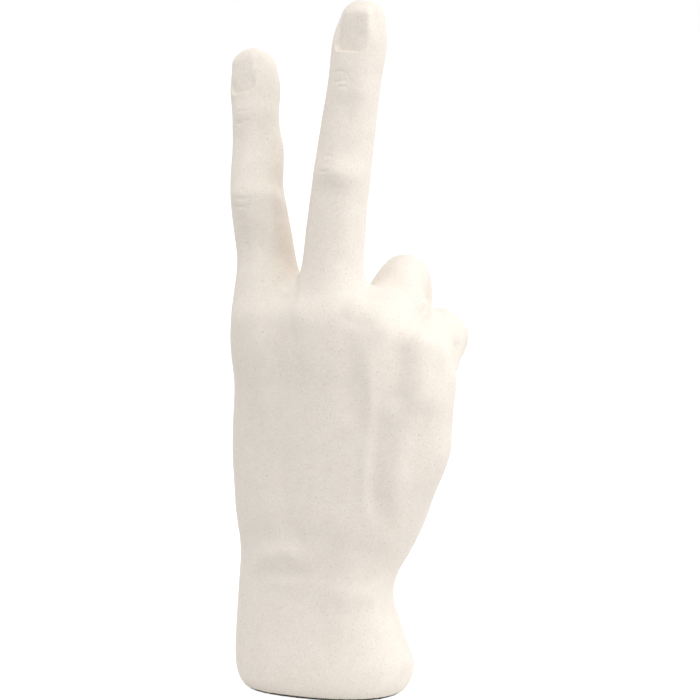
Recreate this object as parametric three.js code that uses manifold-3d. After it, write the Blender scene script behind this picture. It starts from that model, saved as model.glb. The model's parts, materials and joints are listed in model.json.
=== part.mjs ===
// A standing hand with two raised fingers: a hollow cast-stone hand, weighted with sand, on a felt foot.
// Millimetres, +Z up. The origin is the middle of the felt's underside. +X is the little-finger
// side and +Y the palm side, so the back of the hand faces -Y.
import * as THREE from "three";
import { mergeVertices } from "three/addons/utils/BufferGeometryUtils.js";
import Module from "manifold-3d";

const wasm = await Module();
wasm.setup();

// Foot: a felt pad, and a plate that closes the hollow and sits against a ledge in the casting
const feltThickness = 1;
const feltInset = 1;
const plateThickness = 5;
const ledgeWidth = 2.5;

// Inside: the hollow of the casting, its sand, and the stopper of the filling hole
const castingWall = 8.5;
const hollowTop = 90;
const sandTop = 44;
const fillingHole = 12;
const stopperHead = 17;
const stopperHeadThickness = 1.6;

// Steel wires that stiffen the raised fingers
const wireDiameter = 3;
const wireTail = 5;
const wireTipCover = 14;

// Gap of a piece to the one that holds it, and the facet lengths of skin, hollow and wire
const fitGap = 0.3;
const skinFacet = 3.7;
const hollowFacet = 7;
const wireFacet = 6;
const roundSides = 36;
const wireSides = 8;

// The wrist and palm as a column of flattened rounds: height, middle, half width and half depth
const column = {
  below: { z: -5, x: -0.4, y: 0, halfWidth: 22.5, halfDepth: 15.5 },
  sole: { z: 1, x: -0.4, y: 0, halfWidth: 27.4, halfDepth: 19.8 },
  footEdge: { z: 4, x: -0.4, y: 0, halfWidth: 29.5, halfDepth: 21.4 },
  foot: { z: 10, x: -0.4, y: 0, halfWidth: 30.5, halfDepth: 22.1 },
  footTop: { z: 19.9, x: -2.2, y: 0, halfWidth: 28.6, halfDepth: 20.8 },
  wrist: { z: 32.9, x: -3.6, y: 0, halfWidth: 26.6, halfDepth: 18.8 },
  heel: { z: 47.9, x: -1.6, y: 1, halfWidth: 28.5, halfDepth: 17.8 },
  lowPalm: { z: 62.9, x: 1.3, y: 2, halfWidth: 33.2, halfDepth: 17 },
  palm: { z: 79.9, x: 4.5, y: 2, halfWidth: 38, halfDepth: 16 },
  highPalm: { z: 97.9, x: 4.2, y: 1.5, halfWidth: 35.5, halfDepth: 15.2 },
  knuckles: { z: 119.9, x: 4.8, y: 0.5, halfWidth: 32, halfDepth: 13.5 },
};
const columnSquareness = 2.3;
const columnTopRound = 14;
const columnTopDrop = 0.3;

// A finger has a palm bone from root to knuckle and three bones of the given lengths. splay leans
// it towards +X, turn swings its fold about +Z and flex bends its joints towards the palm, in
// degrees. The rounds are half width and half depth at each place along it.
const fingers = {
  index: {
    root: [-14, -1, 63.9],
    knuckle: [-16.2, -3.5, 115.9],
    lengths: [49, 26, 18],
    splay: -10.2,
    turn: 0,
    flex: [3, 12, 2],
    rounds: {
      root: [11, 12], knuckle: [10.6, 11.5], shaft: [9.9, 10.4], joint: [8.9, 9],
      waist: [8.6, 8], endJoint: [7.9, 7.3], pad: [8.6, 7.4], tip: [7.4, 6],
    },
  },
  middle: {
    root: [-1, -3, 63.9],
    knuckle: [2.8, -5.5, 116.9],
    lengths: [55.5, 30.5, 19.8],
    splay: 3.7,
    turn: 0,
    flex: [6, 3, 1.5],
    rounds: {
      root: [11, 12], knuckle: [11.4, 11.5], shaft: [10.1, 10.2], joint: [9.3, 9.4],
      waist: [9.1, 8.5], endJoint: [8.7, 7.9], pad: [9.3, 8], tip: [7.4, 6.2],
    },
  },
  ring: {
    root: [10, -2, 61.9],
    knuckle: [18.5, -1, 117.9],
    lengths: [42, 26, 16],
    splay: 0,
    turn: 11.5,
    flex: [69, 113, 55],
    rounds: {
      root: [10.5, 11.5], knuckle: [10.6, 11.5], shaft: [9.8, 10.6], joint: [8.5, 9.2],
      waist: [8.8, 8.6], endJoint: [8.4, 8.2], pad: [8, 7.4], tip: [6.6, 5.8],
    },
  },
  little: {
    root: [17, 0, 59.9],
    knuckle: [32.2, 3, 102.9],
    lengths: [33, 20, 13],
    splay: 0,
    turn: 12,
    flex: [66, 143, 45],
    rounds: {
      root: [9.6, 11], knuckle: [7.8, 10], shaft: [10, 10.2], joint: [9.7, 9.4],
      waist: [8, 7.9], endJoint: [7.5, 7.3], pad: [7, 6.8], tip: [5.6, 5.2],
    },
  },
};

// The thumb lies across the palm and rests on the folded ring finger
const thumb = {
  root: [-17, 9, 43.9],
  knuckle: [-24, 29, 78.9],
  joint: [-8, 44.5, 100.9],
  tip: [11, 48.5, 108.9],
  rounds: {
    root: [15, 14], palmBone: [14, 14], knuckle: [12.2, 12.6], waist: [10.4, 10.4],
    joint: [10.8, 10.2], pad: [11, 8.8], tip: [8.4, 6.4],
  },
};

// Soft pads: ball of the thumb, heel, finger bases, web of the thumb, and what thumb and fist close on
const pads = {
  thumbBall: { middle: [-15, 16, 62.9], radii: [16, 15, 26] },
  heel: { middle: [14, 9, 74.9], radii: [16, 13, 31] },
  fingerBases: { middle: [8, 9, 101.9], radii: [28, 10, 14] },
  thumbWeb: { middle: [-19, 16, 85.9], radii: [10, 14, 20] },
  palmCup: { middle: [2, 24, 95], radii: [14, 12, 10] },
  fist: { middle: [20, 24, 113], radii: [11, 12, 12] },
};

// Widths over which neighbouring forms run into each other. Those with two values narrow to
// creases from the back of the hand to its inside, between two depths that rise with the height.
const blends = {
  bones: 13, palm: 14, pads: 9, raised: 5, thumb: 4, knuckles: [12, 2.5], pairs: [6, 3], folded: [4.5, 2.5],
};
const creaseDepth = { from: 6, to: 20, tilt: 0.7, height: 110 };

const vec = (p) => new THREE.Vector3(...p);
const radians = THREE.MathUtils.degToRad;
const clamp = THREE.MathUtils.clamp;

// Turns a direction of a straight finger into the way that the finger is held
const held = (way, finger) => way
  .applyAxisAngle(new THREE.Vector3(0, 1, 0), radians(finger.splay))
  .applyAxisAngle(new THREE.Vector3(0, 0, 1), radians(finger.turn));

// Places along a finger: knuckle, joints and tip, with a place halfway along each bone
function fingerPath(finger) {
  const path = [vec(finger.knuckle)];
  let bend = 0;
  finger.lengths.forEach((length, i) => {
    bend += radians(finger.flex[i]);
    const way = held(new THREE.Vector3(0, Math.sin(bend), Math.cos(bend)), finger);
    const from = path[path.length - 1];
    path.push(from.clone().addScaledVector(way, length / 2), from.clone().addScaledVector(way, length));
  });
  return path;
}

// Fields give the distance to a form's surface, negative inside. Two of them blend over a width.
function blend(a, b, width) {
  const h = Math.max(width - Math.abs(a - b), 0);
  return Math.min(a, b) - (h * h) / (4 * width);
}

// Distance to an ellipse-like form from its scaled coordinates p and radii r
function roundDistance(px, py, pz, rx, ry, rz) {
  const k0 = Math.sqrt(px * px + py * py + pz * pz);
  const k1 = Math.sqrt((px / rx) ** 2 + (py / ry) ** 2 + (pz / rz) ** 2);
  return k1 > 1e-9 ? (k0 * (k0 - 1)) / k1 : -Math.min(rx, ry, rz);
}

function padField({ middle, radii: [a, b, c] }) {
  return (x, y, z) => roundDistance((x - middle[0]) / a, (y - middle[1]) / b, (z - middle[2]) / c, a, b, c);
}

const columnRows = Object.values(column);
const columnTop = column.knuckles;

// Smooth value of one key of the column at a height
function columnAt(key, height) {
  const last = columnRows.length - 1;
  const z = clamp(height, column.below.z, columnTop.z);
  const row = (n) => columnRows[clamp(n, 0, last)];
  const slope = (n) => (row(n + 1)[key] - row(n - 1)[key]) / (row(n + 1).z - row(n - 1).z);
  let i = 0;
  while (i < last - 1 && z > row(i + 1).z) i += 1;
  const span = row(i + 1).z - row(i).z;
  const t = (z - row(i).z) / span;
  const s = 1 - t;
  return s * s * ((1 + 2 * t) * row(i)[key] + t * span * slope(i))
    + t * t * ((1 + 2 * s) * row(i + 1)[key] - s * span * slope(i + 1));
}

function columnField(x, y, z) {
  const n = columnSquareness;
  const a = columnAt("halfWidth", z);
  const b = columnAt("halfDepth", z);
  const px = Math.abs(x - columnAt("x", z)) / a;
  const py = Math.abs(y - columnAt("y", z)) / b;
  const q = Math.max((px ** n + py ** n) ** (1 / n), 1e-9);
  const slope = Math.sqrt(((px / q) ** (n - 1) / a) ** 2 + ((py / q) ** (n - 1) / b) ** 2);
  const roof = columnTop.z - columnTopDrop * (x - columnTop.x) - z;
  return Math.max(-blend((1 - q) / slope, roof, columnTopRound), column.below.z - z);
}

// A limb: a bent tube of flattened rounds along a curve, with round ends. side is its width's way.
const limbSteps = 6;
const limbReach = 16;
function limbField(points, rounds, side) {
  const path = new THREE.CatmullRomCurve3(points);
  const sizes = new THREE.CatmullRomCurve3(rounds.map(([w, d]) => new THREE.Vector3(w, d, 0)));
  const count = (points.length - 1) * limbSteps;
  const at = Array.from({ length: count + 1 }, (_, i) => path.getPoint(i / count));
  const size = Array.from({ length: count + 1 }, (_, i) => sizes.getPoint(i / count));
  const box = new THREE.Box3().setFromPoints(at).expandByScalar(Math.max(...rounds.flat()));
  const spot = new THREE.Vector3();
  const field = (x, y, z) => {
    const away = box.distanceToPoint(spot.set(x, y, z));
    if (away > limbReach) return away;
    let best = Infinity;
    for (let i = 0; i < count; i += 1) {
      const p = at[i];
      const ex = at[i + 1].x - p.x;
      const ey = at[i + 1].y - p.y;
      const ez = at[i + 1].z - p.z;
      const run = (x - p.x) * ex + (y - p.y) * ey + (z - p.z) * ez;
      const t = clamp(run / (ex * ex + ey * ey + ez * ez), 0, 1);
      const qx = x - p.x - t * ex;
      const qy = y - p.y - t * ey;
      const qz = z - p.z - t * ez;
      const w = size[i].x + t * (size[i + 1].x - size[i].x);
      const d = size[i].y + t * (size[i + 1].y - size[i].y);
      const across = qx * side.x + qy * side.y + qz * side.z;
      const rest = Math.sqrt(Math.max(qx * qx + qy * qy + qz * qz - across * across, 0));
      best = Math.min(best, roundDistance(across / w, rest / d, 0, w, d, 1));
    }
    return best;
  };
  return { field, box };
}

const across = new THREE.Vector3(1, 0, 0);
const limbs = Object.fromEntries(Object.entries(fingers).map(([name, finger]) => {
  const { root, ...rounds } = finger.rounds;
  const bone = limbField([finger.root, finger.knuckle].map(vec), [root, rounds.knuckle], across);
  const digit = limbField(fingerPath(finger), Object.values(rounds), held(across.clone(), finger));
  return [name, { bone, digit }];
}));
const thumbJoints = [thumb.root, thumb.knuckle, thumb.joint, thumb.tip].map(vec);
const thumbPath = thumbJoints.flatMap((p, i) => (i ? [thumbJoints[i - 1].clone().lerp(p, 0.5), p] : [p]));
const thumbWay = thumbJoints[3].clone().sub(thumbJoints[2]);
const thumbSide = thumbWay.cross(new THREE.Vector3(0, 1, 0)).normalize();
const thumbLimb = limbField(thumbPath, Object.values(thumb.rounds), thumbSide);
const padFields = Object.values(pads).map(padField);

function hand(x, y, z) {
  let palm = Infinity;
  for (const { bone } of Object.values(limbs)) palm = blend(palm, bone.field(x, y, z), blends.bones);
  palm = blend(palm, columnField(x, y, z), blends.palm);
  for (const pad of padFields) palm = blend(palm, pad(x, y, z), blends.pads);
  const digit = (name) => limbs[name].digit.field(x, y, z);
  const depth = y - creaseDepth.tilt * Math.max(z - creaseDepth.height, 0);
  const inner = THREE.MathUtils.smoothstep(depth, creaseDepth.from, creaseDepth.to);
  const width = ([back, inside]) => back + (inside - back) * inner;
  const raised = blend(digit("index"), digit("middle"), blends.raised);
  const folded = blend(digit("ring"), digit("little"), width(blends.folded));
  const skin = blend(palm, blend(raised, folded, width(blends.pairs)), width(blends.knuckles));
  return blend(skin, thumbLimb.field(x, y, z), blends.thumb);
}

// Skin of a field inside a box as a closed mesh: cubes are marched through, each cube's crossings
// are joined to loops, and the points are then evened out and drawn back onto the field.
const corners = [[0, 0, 0], [1, 0, 0], [1, 1, 0], [0, 1, 0], [0, 0, 1], [1, 0, 1], [1, 1, 1], [0, 1, 1]];
const cubeFaces = [[0, 3, 2, 1], [4, 5, 6, 7], [0, 1, 5, 4], [2, 3, 7, 6], [1, 2, 6, 5], [3, 0, 4, 7]];
const evenPasses = 6;
const slopeStep = 0.05;
const leastSlope = 0.1;
const edgeMargin = 0.1;

function marchCubes(field, box, step) {
  const low = box.min.toArray();
  const count = box.getSize(new THREE.Vector3()).toArray().map((length) => Math.ceil(length / step) + 1);
  const at = (i, j, k) => (k * count[1] + j) * count[0] + i;
  const value = new Float64Array(count[0] * count[1] * count[2]);
  const cells = [];
  for (let k = 0; k < count[2]; k += 1)
    for (let j = 0; j < count[1]; j += 1)
      for (let i = 0; i < count[0]; i += 1) {
        value[at(i, j, k)] = field(low[0] + i * step, low[1] + j * step, low[2] + k * step) || 1e-9;
        if (i && j && k) cells.push([i - 1, j - 1, k - 1]);
      }
  const points = [];
  const known = new Map();
  const crossing = (cell, a, b) => {
    const from = corners[a].map((c, axis) => c + cell[axis]);
    const to = corners[b].map((c, axis) => c + cell[axis]);
    const va = value[at(...from)];
    const vb = value[at(...to)];
    const key = Math.min(at(...from), at(...to)) * 3 + from.findIndex((c, axis) => c !== to[axis]);
    if (!known.has(key)) {
      const t = clamp(va / (va - vb), edgeMargin, 1 - edgeMargin);
      known.set(key, points.length);
      points.push(from.map((c, axis) => low[axis] + step * (c + t * (to[axis] - c))));
    }
    return known.get(key);
  };
  const triangles = [];
  for (const cell of cells) {
    const inside = corners.map((c) => value[at(cell[0] + c[0], cell[1] + c[1], cell[2] + c[2])] < 0);
    const next = new Map();
    for (const face of cubeFaces)
      for (let e = 0; e < 4; e += 1) {
        if (inside[face[e]] || !inside[face[(e + 1) % 4]]) continue;
        let f = e + 1;
        while (inside[face[(f + 1) % 4]]) f += 1;
        const enter = crossing(cell, face[e], face[(e + 1) % 4]);
        next.set(enter, crossing(cell, face[f % 4], face[(f + 1) % 4]));
      }
    while (next.size) {
      const loop = [];
      let point = next.keys().next().value;
      while (next.has(point)) {
        loop.push(point);
        const following = next.get(point);
        next.delete(point);
        point = following;
      }
      for (let m = 1; m < loop.length - 1; m += 1) triangles.push([loop[0], loop[m], loop[m + 1]]);
    }
  }
  return { points, triangles };
}

function skin(field, box, step) {
  const { points, triangles } = marchCubes(field, box, step);
  const near = points.map(() => new Set());
  for (const [a, b, c] of triangles) {
    near[a].add(b).add(c);
    near[b].add(a).add(c);
    near[c].add(a).add(b);
  }
  const drawn = ([x, y, z]) => {
    const here = field(x, y, z);
    const gx = (field(x + slopeStep, y, z) - here) / slopeStep;
    const gy = (field(x, y + slopeStep, z) - here) / slopeStep;
    const gz = (field(x, y, z + slopeStep) - here) / slopeStep;
    const s = clamp(here / Math.max(gx * gx + gy * gy + gz * gz, leastSlope), -step / 2, step / 2);
    return [x - s * gx, y - s * gy, z - s * gz];
  };
  let even = points;
  for (let pass = 0; pass < evenPasses; pass += 1) {
    even = even.map((p, v) => {
      const mean = [0, 0, 0];
      for (const q of near[v]) for (let axis = 0; axis < 3; axis += 1) mean[axis] += even[q][axis];
      return drawn(p.map((c, axis) => (c + mean[axis] / near[v].size) / 2));
    });
  }
  return meshOf(even.map(drawn), triangles);
}

function meshOf(points, triangles) {
  const geometry = new THREE.BufferGeometry();
  geometry.setAttribute("position", new THREE.BufferAttribute(new Float32Array(points.flat()), 3));
  geometry.setIndex(triangles.flat());
  return geometry;
}

// Closed solid of a geometry, for joining and cutting
function solid(geometry) {
  const bare = geometry.clone();
  bare.deleteAttribute("normal");
  bare.deleteAttribute("uv");
  const merged = mergeVertices(bare);
  const corner = merged.index.array;
  const triangles = [];
  for (let i = 0; i < corner.length; i += 3) {
    const [a, b, c] = corner.slice(i, i + 3);
    if (a !== b && b !== c && c !== a) triangles.push(a, b, c);
  }
  return new wasm.Manifold(new wasm.Mesh({
    numProp: 3,
    vertProperties: merged.attributes.position.array,
    triVerts: new Uint32Array(triangles),
  }));
}

// The column's round at a height, drawn in by an inset, as points round the Z axis
function columnRound(height, inset) {
  const power = 2 / columnSquareness;
  const reach = (share) => Math.sign(share) * Math.abs(share) ** power;
  return Array.from({ length: roundSides }, (_, i) => {
    const angle = (2 * Math.PI * i) / roundSides;
    return new THREE.Vector2(
      columnAt("x", height) + (columnAt("halfWidth", height) - inset) * reach(Math.cos(angle)),
      columnAt("y", height) + (columnAt("halfDepth", height) - inset) * reach(Math.sin(angle)));
  });
}

// A loft through the column's rounds between two heights
function columnLoft(inset, bottom, top) {
  const steps = Math.ceil((top - bottom) / hollowFacet);
  const points = [];
  const triangles = [];
  for (let i = 0; i <= steps; i += 1) {
    const z = Math.min(bottom + i * hollowFacet, top);
    for (const p of columnRound(z, inset)) points.push([p.x, p.y, z]);
  }
  for (let i = 0; i < steps; i += 1)
    for (let j = 0; j < roundSides; j += 1) {
      const a = i * roundSides + j;
      const b = i * roundSides + ((j + 1) % roundSides);
      triangles.push([a, b, b + roundSides], [a, b + roundSides, a + roundSides]);
    }
  for (let j = 1; j < roundSides - 1; j += 1) {
    const crown = steps * roundSides;
    triangles.push([0, j + 1, j], [crown, crown + j, crown + j + 1]);
  }
  return meshOf(points, triangles);
}

// A flat piece of a column round
function columnSlab(height, inset, bottom, thickness) {
  const outline = new THREE.Shape(columnRound(height, inset));
  const slab = new THREE.ExtrudeGeometry(outline, { depth: thickness, bevelEnabled: false });
  return slab.translate(0, 0, bottom);
}

// A piece turned about the Z axis, from radius and height pairs
function turned(profile) {
  const outline = profile.map(([radius, height]) => new THREE.Vector2(radius, height));
  return new THREE.LatheGeometry(outline, roundSides).rotateX(Math.PI / 2);
}

// A round bar along a finger, from its tail in the hollow to short of the fingertip
function fingerBar(finger, radius) {
  const path = fingerPath(finger);
  const root = vec(finger.root);
  const share = (hollowTop - wireTail - root.z) / (path[0].z - root.z);
  const tip = path.pop();
  const endJoint = path[path.length - 2];
  const bare = wireTipCover - finger.rounds.tip[1];
  path[path.length - 1] = tip.clone().addScaledVector(tip.clone().sub(endJoint).normalize(), -bare);
  path.unshift(root.lerp(path[0], share));
  const curve = new THREE.CatmullRomCurve3(path);
  const outline = new THREE.Shape().absarc(0, 0, radius, 0, 2 * Math.PI);
  return new THREE.ExtrudeGeometry(outline, {
    steps: Math.ceil(curve.getLength() / wireFacet),
    curveSegments: wireSides / 2,
    extrudePath: curve,
    bevelEnabled: false,
  });
}

// Heights of the foot
const plateTop = feltThickness + plateThickness;
const plateInset = castingWall - ledgeWidth;

// Casting: the hand's skin, cut flat below, less the plate's seat, the hollow and the wires' bores
const handBox = new THREE.Box3();
for (const { bone, digit } of Object.values(limbs)) handBox.union(bone.box).union(digit.box);
handBox.union(thumbLimb.box);
for (const { z, x, y, halfWidth, halfDepth } of columnRows) {
  handBox.expandByPoint(new THREE.Vector3(x - halfWidth, y - halfDepth, z));
  handBox.expandByPoint(new THREE.Vector3(x + halfWidth, y + halfDepth, z));
}
handBox.expandByScalar(2 * skinFacet);
const handSize = handBox.getSize(new THREE.Vector3());
const handMiddle = handBox.getCenter(new THREE.Vector3());
const below = new THREE.BoxGeometry(handSize.x, handSize.y, handSize.z);
below.translate(handMiddle.x, handMiddle.y, feltThickness - handSize.z / 2);

const raisedFingers = { index: fingers.index, middle: fingers.middle };
const wireRadius = wireDiameter / 2;
let casting = solid(skin(hand, handBox, skinFacet)).subtract(solid(below));
casting = casting.subtract(solid(columnSlab(plateTop, plateInset, 0, plateTop)));
casting = casting.subtract(solid(columnLoft(castingWall, plateTop, hollowTop)));
for (const finger of Object.values(raisedFingers)) {
  casting = casting.subtract(solid(fingerBar(finger, wireRadius + fitGap)));
}

// Plate with its stepped filling hole, and the stopper in it
const holeRadius = fillingHole / 2;
const headRadius = stopperHead / 2;
const headTop = feltThickness + stopperHeadThickness;
const hole = turned([
  [0, 0], [headRadius + fitGap, 0], [headRadius + fitGap, headTop + fitGap],
  [holeRadius, headTop + fitGap], [holeRadius, plateTop + feltThickness], [0, plateTop + feltThickness],
]);
const board = columnSlab(plateTop, plateInset + fitGap, feltThickness, plateThickness);
const plate = solid(board).subtract(solid(hole));
const stopper = turned([
  [0, feltThickness], [headRadius, feltThickness], [headRadius, headTop],
  [holeRadius - fitGap, headTop], [holeRadius - fitGap, plateTop], [0, plateTop],
]);

const stone = new THREE.MeshStandardMaterial({ color: 0xe6dfd4, roughness: 0.75 });
const steel = new THREE.MeshStandardMaterial({ color: 0x8f9295, roughness: 0.45, metalness: 1 });
const sand = new THREE.MeshStandardMaterial({ color: 0xc6b18a, roughness: 0.95 });
const fibreboard = new THREE.MeshStandardMaterial({ color: 0xb59a77, roughness: 0.85 });
const rubber = new THREE.MeshStandardMaterial({ color: 0x2c2b2a, roughness: 0.7 });
const felt = new THREE.MeshStandardMaterial({ color: 0x3b3733, roughness: 1 });

const sculpture = new THREE.Group();
function addPiece(name, body, material) {
  const { numProp, vertProperties, triVerts } = body.getMesh();
  const geometry = new THREE.BufferGeometry();
  geometry.setAttribute("position", new THREE.BufferAttribute(vertProperties, numProp));
  geometry.setIndex(new THREE.BufferAttribute(triVerts, 1));
  geometry.computeVertexNormals();
  const piece = new THREE.Mesh(geometry, material);
  piece.name = name;
  sculpture.add(piece);
}

addPiece("hand_casting", casting, stone);
for (const [name, finger] of Object.entries(raisedFingers)) {
  addPiece(`${name}_wire`, solid(fingerBar(finger, wireRadius)), steel);
}
addPiece("sand_fill", solid(columnLoft(castingWall + fitGap, plateTop, sandTop)), sand);
addPiece("base_plate", plate, fibreboard);
addPiece("filler_stopper", solid(stopper), rubber);
addPiece("felt_pad", solid(columnSlab(feltThickness, feltInset, 0, feltThickness)), felt);

export default sculpture;
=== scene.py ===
import json
import math

import bpy
import numpy as np
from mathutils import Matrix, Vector
from mathutils.bvhtree import BVHTree

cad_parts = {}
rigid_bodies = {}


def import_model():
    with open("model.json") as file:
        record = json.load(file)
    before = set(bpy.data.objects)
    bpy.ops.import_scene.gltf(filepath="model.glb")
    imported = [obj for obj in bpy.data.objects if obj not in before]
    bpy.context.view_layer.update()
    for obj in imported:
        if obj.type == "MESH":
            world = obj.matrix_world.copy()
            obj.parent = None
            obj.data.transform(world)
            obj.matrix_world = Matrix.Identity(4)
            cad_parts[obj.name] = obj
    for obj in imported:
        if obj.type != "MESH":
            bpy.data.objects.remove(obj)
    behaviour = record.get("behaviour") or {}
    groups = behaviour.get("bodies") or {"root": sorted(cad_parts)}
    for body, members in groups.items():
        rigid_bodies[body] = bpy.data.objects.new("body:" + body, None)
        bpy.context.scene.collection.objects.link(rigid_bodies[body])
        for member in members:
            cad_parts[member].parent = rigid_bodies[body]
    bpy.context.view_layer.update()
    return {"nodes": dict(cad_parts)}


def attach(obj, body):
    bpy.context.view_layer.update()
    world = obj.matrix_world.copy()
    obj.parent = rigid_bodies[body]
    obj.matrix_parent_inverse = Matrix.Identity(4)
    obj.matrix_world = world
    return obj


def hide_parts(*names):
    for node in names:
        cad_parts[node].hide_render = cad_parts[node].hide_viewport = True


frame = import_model()
nodes = frame["nodes"]
mm = 0.001
mergeGap = 0.004  # points of a CAD mesh that are closer than this are one point
print("frame loaded with", len(nodes), "CAD nodes")


# Helpers to select, read and write meshes. Lengths are in mm here, and in metres in Blender.

def pickOnly(obj):
    bpy.ops.object.select_all(action="DESELECT")
    obj.select_set(True)
    bpy.context.view_layer.objects.active = obj


def edit(obj, mode="FACE"):
    pickOnly(obj)
    bpy.ops.object.mode_set(mode="EDIT")
    bpy.ops.mesh.select_mode(type=mode)
    bpy.ops.mesh.select_all(action="DESELECT")


def leaveEdit():
    bpy.ops.object.mode_set(mode="OBJECT")


def editWith(obj, mode, chosen):
    # parts are marked outside edit mode, and edit mode takes the marks over
    edit(obj, mode)
    leaveEdit()
    parts = {"VERT": obj.data.vertices, "EDGE": obj.data.edges, "FACE": obj.data.polygons}[mode]
    parts.foreach_set("select", np.asarray(chosen, bool))
    bpy.ops.object.mode_set(mode="EDIT")


def points(obj):
    flat = np.empty(len(obj.data.vertices) * 3)
    obj.data.vertices.foreach_get("co", flat)
    return flat.reshape(-1, 3) / mm


def setPoints(obj, co):
    obj.data.vertices.foreach_set("co", (co * mm).ravel())
    obj.data.update()


def normals(obj):
    flat = np.empty(len(obj.data.vertices) * 3)
    obj.data.vertex_normals.foreach_get("vector", flat)
    return flat.reshape(-1, 3)


def faceData(obj, key):
    flat = np.empty(len(obj.data.polygons) * 3)
    obj.data.polygons.foreach_get(key, flat)
    return flat.reshape(-1, 3)


def mergedCopy(node, name):
    # a CAD mesh is loose triangles, so its copy is merged before it is worked on
    obj = bpy.data.objects.new(name, nodes[node].data.copy())
    bpy.context.scene.collection.objects.link(obj)
    obj.data.materials.clear()
    edit(obj)
    bpy.ops.mesh.select_all(action="SELECT")
    bpy.ops.mesh.remove_doubles(threshold=mergeGap * mm)
    bpy.ops.mesh.customdata_custom_splitnormals_clear()
    leaveEdit()
    return obj


def applied(obj, kind, **settings):
    pickOnly(obj)
    modifier = obj.modifiers.new(kind.lower(), kind)
    for key, value in settings.items():
        setattr(modifier, key, value)
    bpy.ops.object.modifier_apply(modifier=modifier.name)


def smoothstep(x, low, high):
    t = np.clip((x - low) / (high - low), 0, 1)
    return t * t * (3 - 2 * t)


def triangleCount(obj):
    return sum(len(p.vertices) - 2 for p in obj.data.polygons)


# The hand's skin: the casting's own skin made smooth, then refined where it is carved
skin = {
    "soleHeight": 1.0,
    "soleSlack": 0.05,      # the sole's rim lies within this of its height
    "soleFacing": -0.99,    # and its normals point down at least this straight
    "quadAngle": 40,        # triangles that bend less than this pair up as quads
    "levels": 2,
    "smoothFactor": 0.5,
    "smoothPasses": 8,
    "drawRounds": 3,
    "drawShare": 0.85,      # share of the miss that each round takes up
    "sharpAngle": 50,       # edges that turn more than this stay sharp
}

hand = mergedCopy("hand_casting", "hand")
facesDown = faceData(hand, "normal")[:, 2] < skin["soleFacing"]
atSole = abs(faceData(hand, "center")[:, 2] / mm - skin["soleHeight"]) < skin["soleSlack"]
editWith(hand, "FACE", facesDown & atSole)
bpy.ops.mesh.delete(type="FACE")  # the flat rim of the sole comes back as a fill
leaveEdit()

heights = points(hand)[:, 2]
editWith(hand, "VERT", heights == heights.max())
bpy.ops.mesh.select_linked()
bpy.ops.mesh.select_all(action="INVERT")
bpy.ops.mesh.separate(type="SELECTED")  # hollow, plate seat and wire bores
leaveEdit()
inside = [o for o in bpy.context.selected_objects if o != hand][0]

quadAngle = math.radians(skin["quadAngle"])
edit(hand)
bpy.ops.mesh.select_all(action="SELECT")
bpy.ops.mesh.tris_convert_to_quads(face_threshold=quadAngle, shape_threshold=quadAngle)
leaveEdit()


def smoothSkin(obj):
    applied(obj, "SUBSURF", levels=skin["levels"], render_levels=skin["levels"])
    applied(obj, "SMOOTH", factor=skin["smoothFactor"], iterations=skin["smoothPasses"])


def trialSkin(obj):
    trial = obj.copy()
    trial.data = obj.data.copy()
    bpy.context.scene.collection.objects.link(trial)
    smoothSkin(trial)
    found = points(trial)[:len(obj.data.vertices)]
    bpy.data.objects.remove(trial)
    return found


# smoothing draws a skin in, so its cage moves out until the smooth skin meets the casting's points
castPoints = points(hand)
for _ in range(skin["drawRounds"]):
    miss = castPoints - trialSkin(hand)
    setPoints(hand, points(hand) + skin["drawShare"] * miss)
smoothSkin(hand)
miss = np.linalg.norm(castPoints - points(hand)[:len(castPoints)], axis=1)
print("skin of", len(hand.data.polygons), "faces, off the casting by", round(float(miss.mean()), 3), "mm")

# Nails. Each lies on the end bone from joint to tip: face is the way it looks, base its distance
# from the joint, arc its half angle round the finger and round the finger's half width there.
# Corner rounds its outline, lean tips it sideways and rise lifts its free edge.
nails = {
    "middle": {"joint": (8.3, 5.1, 202.0), "tip": (9.6, 8.7, 221.5), "face": (0.02, -1, 0),
               "base": 7.7, "length": 14.2, "arc": 42, "round": 8.8,
               "corner": 3.0, "lean": -0.16, "rise": 1.4},
    "index": {"joint": (-29.3, 5.8, 188.8), "tip": (-32.4, 11.0, 205.7), "face": (-0.18, -1, 0),
              "base": 6.9, "length": 12.6, "arc": 39, "round": 8.1,
              "corner": 2.8, "lean": 0.0, "rise": 0.1},
    "thumb": {"joint": (-8, 44.5, 100.9), "tip": (11, 48.5, 108.9), "face": (-0.175, 0.98, -0.07),
              "base": 9.0, "length": 15.6, "arc": 44, "round": 9.6,
              "corner": 5.0, "lean": 0.0, "rise": 0.4},
}
nailCut = {
    "base": 1.0, "middle": 0.8, "sides": 0.1,   # how deep the plate lies, raised at its sides
    "baseFade": 2.5,        # the base's depth fades inwards over this
    "lower": (0.1, 0.6),    # shares of the length between which the base's form ends
    "riseFrom": 0.2,        # share of the length from which the plate rises
    "widest": 1.2,          # half widths at which the plate's curve stops growing
    "wall": 1.0, "softWall": 2.4,               # width of the step at the base and further up
    "fold": 0.2, "foldWide": 1.8,               # skin raised round the base
    "soft": 2.2,            # half the length over which the free edge runs out
    "runOn": 6,             # the outline runs on this far past the free edge
    "reach": 12,            # no skin moves further from the outline than this
    "before": 8, "after": 9, "offFinger": 2, "away": 99,    # skin elsewhere counts as far away
}


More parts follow.
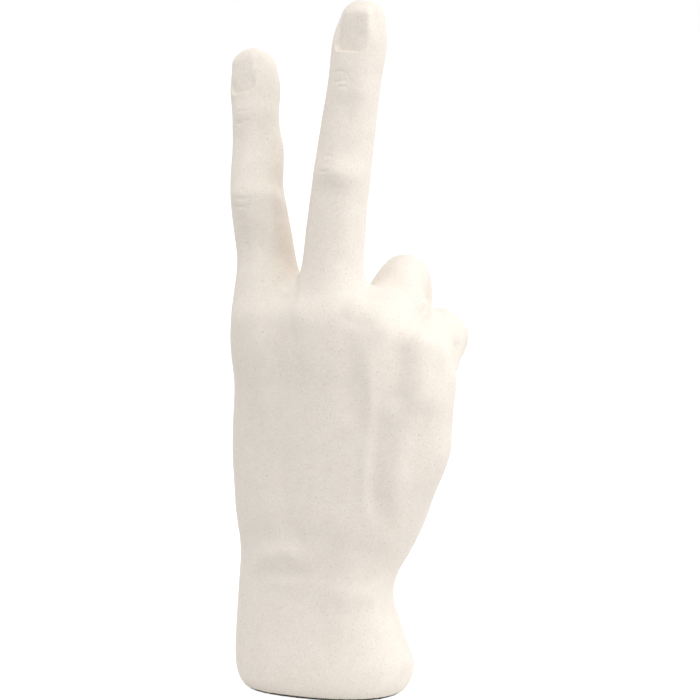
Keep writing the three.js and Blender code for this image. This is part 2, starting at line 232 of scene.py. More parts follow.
def nailPlace(nail, co):
    # place on the unrolled finger: across, along from the nail's base, and distance to its outline
    start = np.array(nail["joint"])
    along = np.array(nail["tip"]) - start
    along /= np.linalg.norm(along)
    face = np.array(nail["face"], float)
    face -= along * (face @ along)
    face /= np.linalg.norm(face)
    side = np.cross(along, face)
    rel = co - start
    v = rel @ along - nail["base"]
    u = nail["round"] * np.arctan2(rel @ side, rel @ face)
    half = nail["round"] * math.radians(nail["arc"])
    reach = (nail["length"] + nailCut["runOn"]) / 2
    qx = abs(u) - (half - nail["corner"])
    qy = abs(v - reach) - (reach - nail["corner"])
    outer = np.hypot(np.maximum(qx, 0), np.maximum(qy, 0))
    inner = np.minimum(np.maximum(qx, qy), 0)
    out = outer + inner - nail["corner"]
    fromBone = np.linalg.norm(rel - np.outer(rel @ along, along), axis=1)
    elsewhere = fromBone > nailCut["offFinger"] * nail["round"]
    elsewhere |= (v < -nailCut["before"]) | (v > nail["length"] + nailCut["after"])
    out[elsewhere] = nailCut["away"]
    return u, v, out


def nailHeight(nail, co):
    # a flat plate: sunk at its base and middle, raised at its free edge, with a soft fold round its base
    u, v, out = nailPlace(nail, co)
    length = nail["length"]
    half = nail["round"] * math.radians(nail["arc"])
    lowStart, lowEnd = nailCut["lower"]
    lower = 1 - smoothstep(v, lowStart * length, lowEnd * length)
    across = np.minimum(abs(u) / half, nailCut["widest"]) ** 2
    plate = -nailCut["middle"] * (1 - across) + nailCut["sides"] * across - nail["lean"] * u
    plate -= nailCut["base"] * lower * np.exp(np.minimum(out, 0) / nailCut["baseFade"])
    plate += (nailCut["middle"] + nail["rise"]) * smoothstep(v, nailCut["riseFrom"] * length, length)
    ended = 1 - smoothstep(v, length - nailCut["soft"], length + nailCut["soft"])
    fold = nailCut["fold"] * lower + (nailCut["sides"] - nail["lean"] * u) * (1 - lower)
    beside = fold * np.exp(-(np.maximum(out, 0) / nailCut["foldWide"]) ** 2)
    wall = nailCut["softWall"] + (nailCut["wall"] - nailCut["softWall"]) * lower
    cover = smoothstep(-out / wall, -0.5, 0.5)  # half covered on the outline
    return np.where(out < nailCut["reach"], (cover * plate + (1 - cover) * beside) * ended, 0)


# Broad forms: points along each, width and height, sunk where negative
broadForms = {
    "indexKnuckle": ([(-22.5, -16.5, 124.5), (-12.5, -17.5, 125.5), (-2, -18, 126.5)], 5.5, 1.2),
    "indexAbove": ([(-24, -12, 144), (-17.5, -11.5, 144.5), (-12.5, -6.5, 144.5)], 6, -1.9),
    "indexUnder": ([(-14, -19.5, 116.5), (-14.5, -17.5, 98.5)], 6.5, 1.1),
    "middleKnuckle": ([(4, -19, 126), (12, -17, 126)], 6.5, 1.6),
    "middleBase": ([(9, -13.5, 136), (12.5, -13.5, 131.5)], 6.5, 1),
    "middleRingRidge": ([(19.5, -8, 131.5), (17.5, -12.5, 129), (16.5, -16, 124)], 2.5, 0.7),
    "ringKnuckle": ([(18.5, -12.5, 128), (23.5, -12, 126.5), (27, -12, 122.5)], 4, 0.9),
    "ringLeft": ([(19, -16, 123.5), (18.5, -18, 115), (18, -17, 102.5), (18, -17.5, 88.5)], 4, -0.8),
    "fourthBone": ([(23, -16, 119.5), (24.5, -16, 110.5), (25, -15.5, 101), (25, -15.5, 90.5),
                    (24, -16, 80), (23.5, -16, 69), (24.5, -15, 61), (27.5, -11.5, 55.5)], 2.5, 1.1),
    "lastGap": ([(27, -15, 99), (26, -15.5, 88), (25.5, -15.5, 76.5), (25, -15, 66),
                 (26.5, -13, 57.5)], 3, -1.1),
    "fifthBone": ([(40.5, -9, 104.5), (38.5, -10.5, 99), (35, -11.5, 91.5), (33, -12, 80.5),
                   (31, -11.5, 68.5), (30, -9, 58)], 4.5, 1.3),
    "indexSinew": ([(-6, -18.5, 85.5), (-6, -18.5, 72.5), (-5, -19, 61), (-5, -18, 51)], 4.5, -0.8),
    "carpalBump": ([(-10, -17.5, 47.5), (-3, -18, 48.5)], 3, 1),
    "carpalEdge": ([(-22, -13, 45), (-2.5, -18, 46.5), (12, -17, 48)], 4, 1.2),
    "wristLip": ([(-14.5, -17, 37), (-0.5, -18, 38), (10, -16.5, 38.5)], 2.5, 0.6),
    "ulnaHead": ([(15.5, -14, 37), (18, -12, 36)], 6.5, 1.4),
    "underUlna": ([(14, -15, 32), (15.5, -16, 26)], 6.5, 1.5),
    "ulnaBelow": ([(20, -10, 32), (22, -10, 25.5)], 6.5, 1.2),
    "middleUnderJoint": ([(9, -9, 172), (12, -7.5, 170)], 4.5, 1.7),
    "middleJoint": ([(1.5, -8, 172), (9, -9, 172), (14, -5.5, 172.5)], 3.5, 0.5),
    "middleCorner": ([(11.5, -8.5, 166), (11.5, -9, 153), (12.5, -9, 141.5)], 3.5, 0.3),
    "middleEnd": ([(7.5, -2, 206.5), (12.5, -1.5, 206.5)], 4.5, 0.8),
    "middleUnderEnd": ([(9, -3.5, 198.5), (13.5, -2, 198.5)], 4, 1),
    "indexJoint": ([(-27, -10, 164), (-19, -8.5, 164), (-16, -4.5, 163.5)], 4, 1.3),
    "indexUnderJoint": ([(-24.5, -11.5, 150), (-18.5, -11, 150.5)], 5.5, -1.6),
    "indexEnd": ([(-31.5, -1, 191), (-25.5, 0, 191), (-22.5, 2.5, 191)], 3.5, 0.7),
    "indexUnderEnd": ([(-31, -4, 180.5), (-23.5, -3.5, 181.5)], 6.5, -0.7),
    "ringTop": ([(17.5, 22.5, 137.5), (24, 18.5, 131)], 5.5, 1.4),
    "littleSide": ([(38, 22, 114), (39, 19.5, 110)], 2.5, -1.6),
    "middleRight": ([(14.5, 4, 169), (14.5, 1.5, 154.5), (14.5, -0.5, 140.5)], 6.5, -0.3),
    "indexJointSide": ([(-16, -1, 166)], 4, -1.1),
    "indexBoneSide": ([(-19, 5, 178)], 6.5, 0.7),
    "indexTipLeft": ([(-38, 7.5, 207)], 5.5, 0.7),
    "indexTipRight": ([(-27, 11.5, 210)], 4, -1.1),
    "webFold": ([(-9, -2, 138.5), (-8, -7.5, 136.5), (-9, -11, 134)], 1.4, 0.5),
    "ringLittleGap": ([(31.5, 4, 123), (28.5, 14, 124.5), (27.5, 22.5, 125.5)], 2.5, -1.2),
    "middleEndSide": ([(16.5, 8, 200.5)], 6.5, 0.3),
    "littleKnuckle": ([(36, -4, 116.5), (38.5, -1, 115.5)], 6, 4.3),
    "ringBase": ([(17.5, -4.5, 133.5), (21.5, -4.5, 132)], 3, -0.5),
    "ulnaTop": ([(15.5, -16, 46.5), (22.5, -10, 42.5)], 4, 0.5),
    "middleSide": ([(10, -3.5, 198.5), (10.5, -5, 190.5)], 3.5, -0.5),
    "footRight": ([(18.5, -16.5, 17.5), (26, -8.5, 17)], 5.5, 0.5),
    "wristBand": ([(-24.5, -12, 41), (-9, -17.5, 43), (0.5, -17.5, 43.5), (10.5, -17, 42.5)], 2.5, 0.4),
    "indexMiddleLine": ([(-11, 1, 140), (-3.5, -13.5, 133.5), (-1.5, -19, 124.5), (-0.5, -21, 116.5),
                         (-2, -19.5, 106)], 1.7, -0.5),
    "indexPad1": ([(-22.5, 8, 150.5)], 6, 0.7),
    "indexPad2": ([(-27, 11, 177)], 5.5, 0.5),
    "indexPad3": ([(-31, 16, 199)], 5.5, 0.5),
    "middlePad1": ([(5, 8.5, 155)], 6.5, 0.7),
    "middlePad2": ([(7.5, 11.5, 187.5)], 6, 0.5),
    "middlePad3": ([(9, 15, 212.5)], 5.5, 0.5),
    "littleSideLow": ([(34, 31, 105.5), (34, 29, 100.5)], 4, -1.6),
    "littleTop": ([(25, 30, 126), (32.5, 36.5, 122)], 3.5, -1),
    "sideFill": ([(42, 8, 90), (42, 8, 85)], 6, 0.6),
    "littleSideTrim": ([(43, 6.5, 110.5), (44.5, 2.5, 103)], 5, -0.8),
    "hollowUpper": ([(33, -10, 114), (33.5, -13, 101.5)], 4, -1.4),
    "knuckleSide": ([(39, -7.5, 110.5), (40, -9.5, 101.5)], 5, 1.3),
    "heelSide": ([(34, -10, 71.5), (32, -9, 62.5), (28.5, -9.5, 53)], 6.5, 0.8),
    "ulnaFill": ([(17.5, -13.5, 39.5), (21.5, -8, 36.5)], 6.5, 0.4),
}

# Skin creases: points along each, width and depth
creases = {
    "middleEnd1": ([(4.4, -1.8, 204.0), (6.6, -2.3, 204.3), (9.4, -2.4, 204.3)], 0.45, 0.2),
    "middleEnd2": ([(4.2, -2.3, 200.8), (7.0, -3.0, 201.0), (10.4, -2.8, 201.5)], 0.5, 0.21),
    "middleEnd3": ([(7.0, -3.4, 199.3), (8.8, -3.4, 199.5), (10.6, -3.0, 199.4)], 0.4, 0.2),
    "middleJoint1": ([(1.9, -8.0, 172.4), (3.6, -8.6, 172.1), (5.6, -9.0, 172.0),
                      (8.4, -8.8, 172.6)], 0.5, 0.24),
    "middleJoint2": ([(3.4, -8.3, 176.8), (5.6, -8.5, 177.3), (8.0, -8.3, 177.0)], 0.5, 0.15),
    "indexEnd1": ([(-33.3, -0.8, 186.6), (-30.8, -2.0, 187.0), (-28.2, -2.2, 188.0),
                   (-26.5, -1.8, 188.6)], 0.5, 0.21),
    "indexEnd2": ([(-33.0, -0.1, 190.6), (-30.4, -0.9, 190.8), (-27.8, -1.0, 191.0)], 0.45, 0.12),
    "indexJoint1": ([(-29.6, -8.4, 162.8), (-27.0, -9.6, 162.5), (-24.0, -10.2, 162.6),
                     (-21.0, -9.4, 163.2)], 0.55, 0.21),
    "indexJoint2": ([(-29.0, -9.2, 159.6), (-26.2, -10.3, 159.9), (-23.0, -10.5, 159.7)], 0.55, 0.21),
    "indexJoint3": ([(-24.8, -9.7, 164.5), (-25.2, -9.3, 166.2)], 0.45, 0.2),
    "indexBend1": ([(-35.2, 11.0, 188.3), (-32.1, 13.2, 189.2), (-29.4, 13.5, 189.0),
                    (-24.4, 11.5, 188.4)], 0.7, 0.4),
    "indexBend2": ([(-31.2, 5.8, 164.5), (-27.4, 8.1, 165.9), (-23.5, 8.1, 165.3),
                    (-19.2, 6.0, 164.1)], 0.7, 0.42),
    "indexBend3": ([(-29.3, 6.7, 162.4), (-25.7, 8.0, 163.4), (-22.3, 7.6, 162.8)], 0.6, 0.3),
    "indexBend4": ([(-27.9, 5.2, 138.8), (-23.4, 7.9, 139.5), (-19.2, 8.3, 139.4),
                    (-14.4, 6.5, 138.5)], 0.8, 0.42),
    "middleBend1": ([(2.1, 10.5, 201.2), (6.2, 12.9, 202.1), (10.1, 13.0, 202.1),
                     (14.4, 10.9, 201.0)], 0.7, 0.4),
    "middleBend2": ([(-0.3, 6.9, 171.9), (4.4, 9.6, 173.5), (8.5, 9.7, 173.5),
                     (13.0, 7.0, 172.7)], 0.7, 0.42),
    "middleBend3": ([(2.1, 8.5, 170.0), (6.8, 9.6, 170.7), (10.4, 8.6, 170.1)], 0.6, 0.3),
    "middleBend4": ([(-2.9, 4.5, 139.5), (1.8, 7.0, 140.4), (6.2, 40.6, 140.1)], 0.8, 0.35),
    "lifeLine": ([(9.2, 27.6, 86.3), (4.5, 22.3, 76.3), (-0.3, 24.1, 66.7), (-0.7, 24.0, 57.4),
                  (1.8, 20.7, 49.4)], 0.9, 0.5),
    "heartLine": ([(32.2, 17.5, 85.7), (25.4, 20.5, 82.9), (17.2, 22.9, 84.7),
                   (10.5, 31.1, 89.8)], 0.8, 0.42),
    "palmLine": ([(27.5, 19.9, 76.4), (20.8, 22.4, 73.6), (13.2, 23.3, 73.7)], 0.6, 0.25),
    "wristPalm1": ([(-16.6, 26.5, 43.1), (-8.6, 25.3, 44.1), (1.6, 19.4, 44.5),
                    (11.6, 18.4, 44.0), (19.5, 15.0, 43.0)], 0.8, 0.42),
    "wristPalm2": ([(-12.0, 23.6, 39.1), (-4.8, 20.6, 39.3), (5.4, 18.1, 39.6),
                    (14.7, 15.5, 38.7)], 0.7, 0.28),
    "thumbJoint1": ([(-4.7, 52.9, 95.4), (-7.3, 54.8, 99.5), (-11.4, 53.3, 105.3)], 0.6, 0.32),
    "thumbJoint2": ([(-6.8, 53.0, 95.1), (-10.6, 54.1, 98.6), (-13.1, 53.0, 103.8)], 0.6, 0.3),
    "thumbJoint3": ([(-3.1, 54.2, 97.8), (-5.3, 55.2, 101.3), (-7.7, 54.7, 105.0)], 0.5, 0.24),
    "ringJoint1": ([(5.6, 43.0, 137.8), (10.6, 44.4, 139.0), (15.5, 42.7, 138.1)], 0.6, 0.3),
    "ringJoint2": ([(5.3, 44.7, 134.7), (10.7, 46.5, 135.5), (15.5, 45.0, 134.3)], 0.6, 0.3),
    "ringJoint3": ([(7.6, 45.0, 137.1), (11.3, 45.4, 137.5), (14.0, 44.7, 137.0)], 0.5, 0.2),
    "fingerSplit": ([(31.0, 4.0, 123.2), (28.7, 14.0, 124.5), (27.0, 21.0, 126.0), (24.0, 26.5, 127.4),
                     (22.0, 32.0, 126.0), (21.0, 38.5, 123.0), (20.2, 40.0, 119.0), (20.2, 40.0, 114.0),
                     (20.6, 38.5, 109.0), (21.0, 34.0, 104.5), (20.5, 31.0, 99.0)], 1.0, 0.9),
    "littleJoint1": ([(22.2, 39.6, 121.4), (27.3, 39.7, 122.2), (33.1, 37.1, 120.9)], 0.55, 0.28),
    "littleJoint2": ([(21.6, 40.8, 116.5), (26.9, 41.8, 117.3), (32.8, 39.2, 116.4)], 0.55, 0.28),
}

# How lines are drawn and carved. Reaches, lengths and lips are in widths of the line.
carving = {
    "lineStep": 0.4,        # spacing of a line's points in mm
    "formReach": 3, "creaseReach": 6,
    "longForm": 4,          # a form longer than this fades at its ends
    "formTaper": 0.28, "creaseTaper": 0.3,          # share of the length over which an end fades
    "endSlack": 0.01,       # keeps the ends of a short form at full height
    "lip": 0.3, "lipPlace": 2.2, "lipWide": 1.2,    # skin raised beside a crease, its height in depths
}

# Where the skin is made finer: round creases and nails, then again on fine creases and nail walls
finer = {
    "creaseWidths": 1.8, "creaseMargin": 0.6, "nailMargin": 2,
    "fineCrease": 0.56, "fineMargin": 0.8,          # creases narrower than this, and how far beside them
    "wallMargin": 0.7, "wallShare": 0.6,            # beside a nail's outline, on this share of its length
}


def lineOnSkin(tree, marks):
    # a smooth line through the marks, drawn onto the skin
    marks = np.array(marks, float)
    if len(marks) == 1:
        line = marks
    else:
        ends = np.vstack([2 * marks[0] - marks[1], marks, 2 * marks[-1] - marks[-2]])
        line = []
        for i in range(1, len(ends) - 2):
            p, q, r, s = ends[i - 1:i + 3]
            count = max(2, int(np.linalg.norm(r - q) / carving["lineStep"]))
            for t in np.arange(count) / count:
                line.append(0.5 * (2 * q + (r - p) * t + (2 * p - 5 * q + 4 * r - s) * t * t
                                   + (3 * q - p - 3 * r + s) * t ** 3))
        line = np.array(line + [marks[-1]])
    return np.array([tree.find_nearest(Vector(p * mm))[0] for p in line]) / mm


def nearLine(co, line, reach):
    # distance to a line and place along it, 0 to 1, for points within reach
    close = np.all((co > line.min(0) - reach) & (co < line.max(0) + reach), axis=1)
    where = np.flatnonzero(close)
    apart = np.linalg.norm(co[where, None] - line[None], axis=2)
    share = apart.argmin(1) / max(len(line) - 1, 1)
    return where, apart.min(1), share


def skinTree(obj):
    return BVHTree.FromPolygons(
        [v.co for v in obj.data.vertices], [tuple(p.vertices) for p in obj.data.polygons])


handTree = skinTree(hand)
broadLines = [(lineOnSkin(handTree, marks), wide, high) for marks, wide, high in broadForms.values()]
creaseLines = [(lineOnSkin(handTree, marks), wide, deep) for marks, wide, deep in creases.values()]


def refine(obj, chosen):
    editWith(obj, "FACE", chosen)
    bpy.ops.mesh.subdivide(number_cuts=1)
    leaveEdit()


def creaseZone(spots, lines, widths, margin):
    zone = np.zeros(len(spots), bool)
    for line, wide, _ in lines:
        reach = widths * wide + margin
        where, apart, _ = nearLine(spots, line, reach)
        zone[where[apart < reach]] = True
    return zone


spots = faceData(hand, "center") / mm
fineZone = creaseZone(spots, creaseLines, finer["creaseWidths"], finer["creaseMargin"])
for nail in nails.values():
    fineZone |= nailPlace(nail, spots)[2] < finer["nailMargin"]
refine(hand, fineZone)
spots = faceData(hand, "center") / mm
fineCreases = [crease for crease in creaseLines if crease[1] < finer["fineCrease"]]
edgeZone = creaseZone(spots, fineCreases, 0, finer["fineMargin"])
for nail in nails.values():
    _, v, out = nailPlace(nail, spots)
    edgeZone |= (abs(out) < finer["wallMargin"]) & (v < finer["wallShare"] * nail["length"])
refine(hand, edgeZone)
print("refined skin of", len(hand.data.polygons), "faces")


def fade(share, taper, slack):
    # full in the middle of a line, fading over a share of it at each end
    return smoothstep(share, -slack, taper) * (1 - smoothstep(share, 1 - taper, 1 + slack))


co = points(hand)
outward = normals(hand)
height = np.zeros(len(co))
for line, wide, high in broadLines:
    where, apart, share = nearLine(co, line, carving["formReach"] * wide)
    isLong = len(line) * carving["lineStep"] > carving["longForm"] * wide
    taper = fade(share, carving["formTaper"] if isLong else 0, carving["endSlack"])
    height[where] += high * taper * np.exp(-(apart / wide) ** 2)
for line, wide, deep in creaseLines:
    where, apart, share = nearLine(co, line, carving["creaseReach"] * wide)
    taper = fade(share, carving["creaseTaper"], 0)
    fromLip = (apart - carving["lipPlace"] * wide) / (carving["lipWide"] * wide)
    lips = carving["lip"] * np.exp(-fromLip ** 2)
    height[where] += deep * taper * (lips - np.exp(-(apart / wide) ** 2))
for nail in nails.values():
    height += nailHeight(nail, co)
setPoints(hand, co + outward * height[:, None])
print("carved:", len(broadLines), "forms,", len(creaseLines), "creases,", len(nails), "nails")

# the hollow comes back, and the sole's rim is filled between the two
pickOnly(inside)
hand.select_set(True)
bpy.context.view_layer.objects.active = hand
bpy.ops.object.join()
edit(hand, "EDGE")
bpy.ops.mesh.select_non_manifold(
    extend=False, use_wire=False, use_multi_face=False, use_non_contiguous=False, use_verts=False)
bpy.ops.mesh.fill()
bpy.ops.mesh.select_all(action="SELECT")
bpy.ops.mesh.normals_make_consistent(inside=False)
leaveEdit()
pickOnly(hand)
bpy.ops.object.shade_smooth_by_angle(angle=math.radians(skin["sharpAngle"]))
print("hand of", triangleCount(hand), "triangles")

# Felt pad: pressed wool with a softened edge and a nap that stands unevenly, glued flat under the foot
feltPad = {
    "flatAngle": 1,         # faces that turn less than this join before the edge is rounded
    "edge": 0.3, "edgeSteps": 3, "edgeAngle": 50,
    "grid": 0.42,
    "nap": 0.14, "napSize": 1.1, "napDepth": 2,
    "sharpAngle": 60,
    "flat": (52.8, 37.6), "area": 1635,     # laid flat
}

felt = mergedCopy("felt_pad", "felt")
edit(felt)
bpy.ops.mesh.select_all(action="SELECT")
bpy.ops.mesh.dissolve_limited(angle_limit=math.radians(feltPad["flatAngle"]))
leaveEdit()
applied(felt, "BEVEL", width=feltPad["edge"] * mm, segments=feltPad["edgeSteps"],
        limit_method="ANGLE", angle_limit=math.radians(feltPad["edgeAngle"]))
applied(felt, "REMESH", mode="VOXEL", voxel_size=feltPad["grid"] * mm)
nap = bpy.data.textures.new("nap", "CLOUDS")
nap.noise_scale = feltPad["napSize"] * mm
nap.noise_depth = feltPad["napDepth"]
applied(felt, "DISPLACE", texture=nap, strength=feltPad["nap"] * mm, mid_level=1.0)
co = points(felt)
co[:, 2] = np.clip(co[:, 2], 0, skin["soleHeight"])  # flat on the table and under the sole
setPoints(felt, co)
pickOnly(felt)
bpy.ops.object.shade_smooth_by_angle(angle=math.radians(feltPad["sharpAngle"]))
print("felt of", triangleCount(felt), "triangles")


# Helpers for materials

def colour(code):
    # sRGB hex to linear
    parts = [int(code[i:i + 2], 16) / 255 for i in (1, 3, 5)]
    return [c / 12.92 if c <= 0.04045 else ((c + 0.055) / 1.055) ** 2.4 for c in parts] + [1]


def addNode(tree, kind, inputs, **settings):
    node = tree.nodes.new(kind)
    for key, value in settings.items():
        setattr(node, key, value)
    for key, value in inputs.items():
        if isinstance(value, bpy.types.NodeSocket):
            tree.links.new(value, node.inputs[key])
        else:
            node.inputs[key].default_value = value
    return node


def newMaterial(name):
    material = bpy.data.materials.new(name)
    material.use_nodes = True
    material.node_tree.nodes.clear()
    return material, material.node_tree


def objectPlace(tree):
    return addNode(tree, "ShaderNodeTexCoord", {}).outputs["Object"]


def blend(tree, share, low, high):
    mix = addNode(tree, "ShaderNodeMix", {"Factor": share, "A": low, "B": high}, data_type="RGBA")
    return mix.outputs[2]


def combine(tree, operation, first, second):
    return addNode(tree, "ShaderNodeMath", {0: first, 1: second}, operation=operation).outputs[0]


def noise(tree, place, size, detail, rough):
    # size is that of its patches in mm
    return addNode(tree, "ShaderNodeTexNoise", {
        "Vector": place, "Scale": 1 / mm / size, "Detail": detail, "Roughness": rough}).outputs["Fac"]


def bumped(tree, height, strength, depth):
    return addNode(tree, "ShaderNodeBump", {
        "Height": height, "Strength": strength, "Distance": depth * mm}).outputs["Normal"]


def surface(tree, inputs):
    shader = addNode(tree, "ShaderNodeBsdfPrincipled", inputs)
    addNode(tree, "ShaderNodeOutputMaterial", {"Surface": shader.outputs["BSDF"]})


# Cast stone: marble grit in resin, matt from the mould. It gives a warm cream with soft mottling,
# a fine grain and small specks of grit, faint ones close together and dark ones wide apart.
castStone = {
    "pale": "#ede5db", "deep": "#e2d9ce", "mottle": 4.5,
    "grain": 0.75, "grainTone": 0.055, "grainDepth": 0.15,
    "rough": 0.62,
    "grit": (
        {"tint": "#d0c6bb", "gap": 1.0, "round": 0.26, "shift": 3.1},
        {"tint": "#b9aea3", "gap": 4.0, "round": 0.29, "shift": 0},
    ),
}


def stoneMaterial():
    material, tree = newMaterial("castStone")
    place = objectPlace(tree)
    mottle = noise(tree, place, castStone["mottle"], 4, 0.6)
    paint = blend(tree, mottle, colour(castStone["deep"]), colour(castStone["pale"]))
    for grit in castStone["grit"]:
        moved = addNode(tree, "ShaderNodeVectorMath", {0: place, 1: [grit["shift"]] * 3}, operation="ADD")
        cell = addNode(tree, "ShaderNodeTexVoronoi", {
            "Vector": moved.outputs["Vector"], "Scale": 1 / mm / grit["gap"], "Randomness": 1.0})
        chance = addNode(tree, "ShaderNodeSeparateColor", {"Color": cell.outputs["Color"]}).outputs["Red"]
        reach = combine(tree, "MULTIPLY", chance, grit["round"] / grit["gap"])
        ratio = combine(tree, "DIVIDE", cell.outputs["Distance"], reach)
        mark = addNode(tree, "ShaderNodeMapRange", {
            "Value": ratio, "From Min": 1.0, "From Max": 0.55, "To Min": 0.0, "To Max": 1.0})
        paint = blend(tree, mark.outputs["Result"], paint, colour(grit["tint"]))
    grain = noise(tree, place, castStone["grain"], 2, 0.6)
    tone = addNode(tree, "ShaderNodeMapRange", {
        "Value": grain, "From Min": 0.25, "From Max": 0.75,
        "To Min": 1 - castStone["grainTone"], "To Max": 1 + castStone["grainTone"]})
    grained = addNode(tree, "ShaderNodeVectorMath", {
        0: paint, "Scale": tone.outputs["Result"]}, operation="SCALE")
    surface(tree, {
        "Base Color": grained.outputs["Vector"], "Roughness": castStone["rough"], "IOR": 1.5,
        "Normal": bumped(tree, grain, 0.12, castStone["grainDepth"])})
    return material


hand.data.materials.clear()
hand.data.materials.append(stoneMaterial())
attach(hand, "root")
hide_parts("hand_casting")


# Pressed felt: dark brown-grey wool, whose dark tone is also painted shade for the dark line under the
# foot's edge. It gives a dull cloth with lighter fibres lying every way.
feltCloth = {
    # the dark tone is the felt's own, and also painted shade along the foot's lower edge
    "darkFeltAndShade": "#38342f", "light": "#655e55", "clump": 1.3,
    "fibre": 0.5, "stretch": 5.0, "turns": (0.4, 1.5, 2.6),
    "fibreDepth": 0.1, "rough": 0.95, "sheen": 0.3,
}


def feltMaterial():
    material, tree = newMaterial("pressedFeltAndShade")
    place = objectPlace(tree)
    fibres = noise(tree, place, feltCloth["clump"], 3, 0.7)
    for angle in feltCloth["turns"]:
        lie = addNode(tree, "ShaderNodeMapping", {
            "Vector": place, "Rotation": (0, 0, angle), "Scale": (1, feltCloth["stretch"], 1)})
        strand = noise(tree, lie.outputs["Vector"], feltCloth["fibre"] * feltCloth["stretch"], 2, 0.5)
        fibres = combine(tree, "ADD", fibres, strand)
    share = addNode(tree, "ShaderNodeMapRange", {"Value": fibres, "From Min": 1.6, "From Max": 2.5})
    tint = blend(tree, share.outputs["Result"], colour(feltCloth["darkFeltAndShade"]), colour(feltCloth["light"]))
    surface(tree, {
        "Base Color": tint, "Roughness": feltCloth["rough"], "Sheen Weight": feltCloth["sheen"],
        "Normal": bumped(tree, fibres, 0.4, feltCloth["fibreDepth"])})
    return material


felt.data.materials.clear()
felt.data.materials.append(feltMaterial())
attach(felt, "root")
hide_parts("felt_pad")

# The pieces inside keep their CAD shape. Each mixes two tones by a noise stretched the way its
# surface runs: size is the pattern's size in mm, and stretch how many times longer it is on each axis.
insideLooks = {
    # plain drawn wire: long bright scratches from the die
    "drawnWire": {"on": ("index_wire", "middle_wire"), "tones": ("#7d8084", "#b9bcc0"), "size": 0.3,
                  "stretch": (1, 1, 30), "metal": 1.0, "rough": (0.28, 0.45), "bump": 0.02},
    # dry sand: grains of mixed tan
    "drySand": {"on": ("sand_fill",), "tones": ("#a58c66", "#dcc9a4"), "size": 0.6,
                "stretch": (1, 1, 1), "metal": 0.0, "rough": (0.85, 1.0), "bump": 0.3},
    # raw fibreboard: short brown fibres pressed flat
    "rawFibreboard": {"on": ("base_plate",), "tones": ("#9b7f5f", "#c9b08d"), "size": 0.5,
                      "stretch": (6, 2, 1), "metal": 0.0, "rough": (0.7, 0.9), "bump": 0.08},
    # moulded rubber: near black with a faint bloom
    "mouldedRubber": {"on": ("filler_stopper",), "tones": ("#242321", "#383633"), "size": 1.5,
                      "stretch": (1, 1, 1), "metal": 0.0, "rough": (0.5, 0.65), "bump": 0.03},
}


def insideMaterial(name, look):
    material, tree = newMaterial(name)
    lie = addNode(tree, "ShaderNodeMapping", {
        "Vector": objectPlace(tree), "Scale": [1 / times for times in look["stretch"]]})
    pattern = noise(tree, lie.outputs["Vector"], look["size"], 3, 0.65)
    share = addNode(tree, "ShaderNodeMapRange", {
        "Value": pattern, "From Min": 0.3, "From Max": 0.7}).outputs["Result"]
    low, high = look["tones"]
    smoothest, roughest = look["rough"]
    rough = addNode(tree, "ShaderNodeMapRange", {
        "Value": share, "To Min": roughest, "To Max": smoothest}).outputs["Result"]
    surface(tree, {
        "Base Color": blend(tree, share, colour(low), colour(high)), "Metallic": look["metal"],
        "Roughness": rough, "Normal": bumped(tree, pattern, 0.6, look["bump"])})
    return material


for name, look in insideLooks.items():
    material = insideMaterial(name, look)
    for node in look["on"]:
        nodes[node].data.materials.clear()
        nodes[node].data.materials.append(material)
print("materials set")

# Camera, at the photograph's angle
view = {"azimuth": 28, "elevation": 6, "distance": 1100, "target": (5, 8, 112.5), "lens": 171.3,
        "farthest": 100}    # in metres, past the floor's edge
turn, lift = math.radians(view["azimuth"]), math.radians(view["elevation"])
back = Vector((math.sin(turn) * math.cos(lift), -math.cos(turn) * math.cos(lift), math.sin(lift)))
bpy.ops.object.camera_add(location=(Vector(view["target"]) + back * view["distance"]) * mm)
camera = bpy.context.object
camera.rotation_euler = (-back).to_track_quat("-Z", "Y").to_euler()
camera.data.lens = view["lens"]
camera.data.clip_end = view["farthest"]
bpy.context.scene.camera = camera

# Studio, in metres: a white paper floor that the camera sees as white but for the shadow, and soft
# lamps. A painted pool of light makes the paper paler close to the foot, so that it throws more light up
# there.
studio = {
    "paper": "#b7b7b7", "nearPaper": "#dcdcdc",
    "near": (0.03, 0.085),      # the painted pool of light on the paper fades out between these distances from the origin
    "paperGlow": 0.715, "paperSize": 40,
    "ambient": 1.01,
    "aim": (0, 0, 0.12),        # where the lamps point
}
lamps = {
    "topLamp": {"place": (0.0, 0.1, 1.7), "size": (1.2, 1.2), "power": 3.7},
    "sideLamp": {"place": (1.6, 0.2, 0.4), "size": (1.2, 1.2), "power": 5.8},
    "frontLamp": {"place": (0.7, -1.4, 0.3), "size": (1.2, 1.2), "power": 2.6},
    "backLamp": {"place": (0.9, 1.2, 0.9), "size": (1.2, 1.2), "power": 4.4},
    # a small strip for the lower right of the wrist and foot
    "lowLamp": {"place": (0.7, -0.05, 0.08), "size": (0.6, 0.12), "power": 0.38},
}


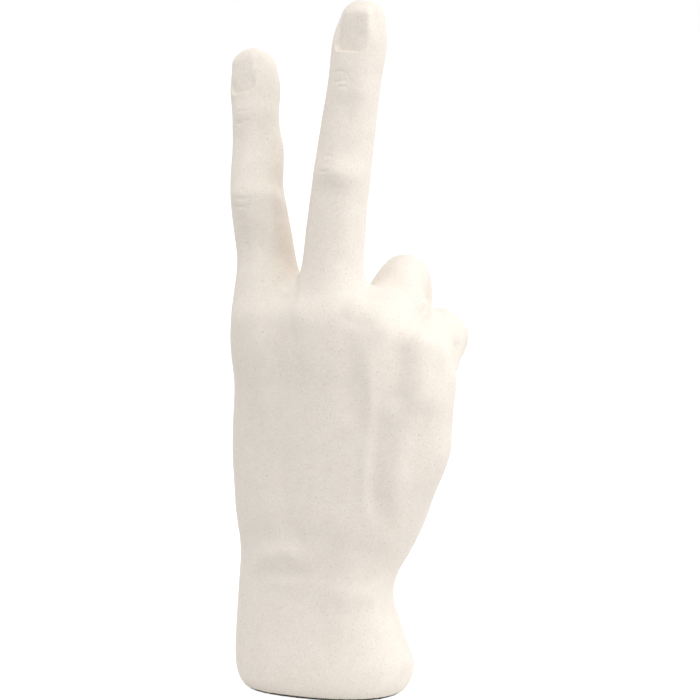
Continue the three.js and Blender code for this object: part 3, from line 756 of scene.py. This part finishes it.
def seenDirectly(tree):
    path = addNode(tree, "ShaderNodeLightPath", {}).outputs
    first = combine(tree, "MAXIMUM", path["Is Camera Ray"], path["Is Glossy Ray"])
    return combine(tree, "MAXIMUM", first, path["Is Transmission Ray"])


bpy.ops.mesh.primitive_plane_add(size=studio["paperSize"], location=(0, 0, 0))
floor = bpy.context.object
floor.name = "floor"
paper, tree = newMaterial("whitePaper")
glow = combine(tree, "MULTIPLY", seenDirectly(tree), studio["paperGlow"])
shine = addNode(tree, "ShaderNodeEmission", {"Color": (1, 1, 1, 1), "Strength": glow})
# painted pool of light: the paper is paler close to the foot and greyer further out
fromFoot = addNode(tree, "ShaderNodeVectorMath", {0: objectPlace(tree)}, operation="LENGTH")
nearStart, nearEnd = studio["near"]
pastPaintedLight = addNode(tree, "ShaderNodeMapRange", {
    "Value": fromFoot.outputs["Value"], "From Min": nearStart, "From Max": nearEnd})
tint = blend(tree, pastPaintedLight.outputs["Result"], colour(studio["nearPaper"]), colour(studio["paper"]))
matt = addNode(tree, "ShaderNodeBsdfDiffuse", {"Color": tint})
both = addNode(tree, "ShaderNodeAddShader", {0: shine.outputs[0], 1: matt.outputs[0]})
addNode(tree, "ShaderNodeOutputMaterial", {"Surface": both.outputs[0]})
floor.data.materials.append(paper)

world = bpy.data.worlds.new("studio")
bpy.context.scene.world = world
world.use_nodes = True
tree = world.node_tree
tree.nodes.clear()
level = addNode(tree, "ShaderNodeMapRange", {
    "Value": seenDirectly(tree), "To Min": studio["ambient"], "To Max": 1.0})
sky = addNode(tree, "ShaderNodeBackground", {"Color": (1, 1, 1, 1), "Strength": level.outputs["Result"]})
addNode(tree, "ShaderNodeOutputWorld", {"Surface": sky.outputs[0]})


def addLamp(name, place, size, power):
    data = bpy.data.lights.new(name, "AREA")
    data.shape = "RECTANGLE"
    data.size, data.size_y = size
    data.energy = power
    obj = bpy.data.objects.new(name, data)
    bpy.context.scene.collection.objects.link(obj)
    obj.location = place
    obj.rotation_euler = (Vector(studio["aim"]) - Vector(place)).to_track_quat("-Z", "Y").to_euler()


for name, lamp in lamps.items():
    addLamp(name, **lamp)
bpy.context.scene.view_settings.view_transform = "Standard"
print("camera and", len(lamps), "lamps set")
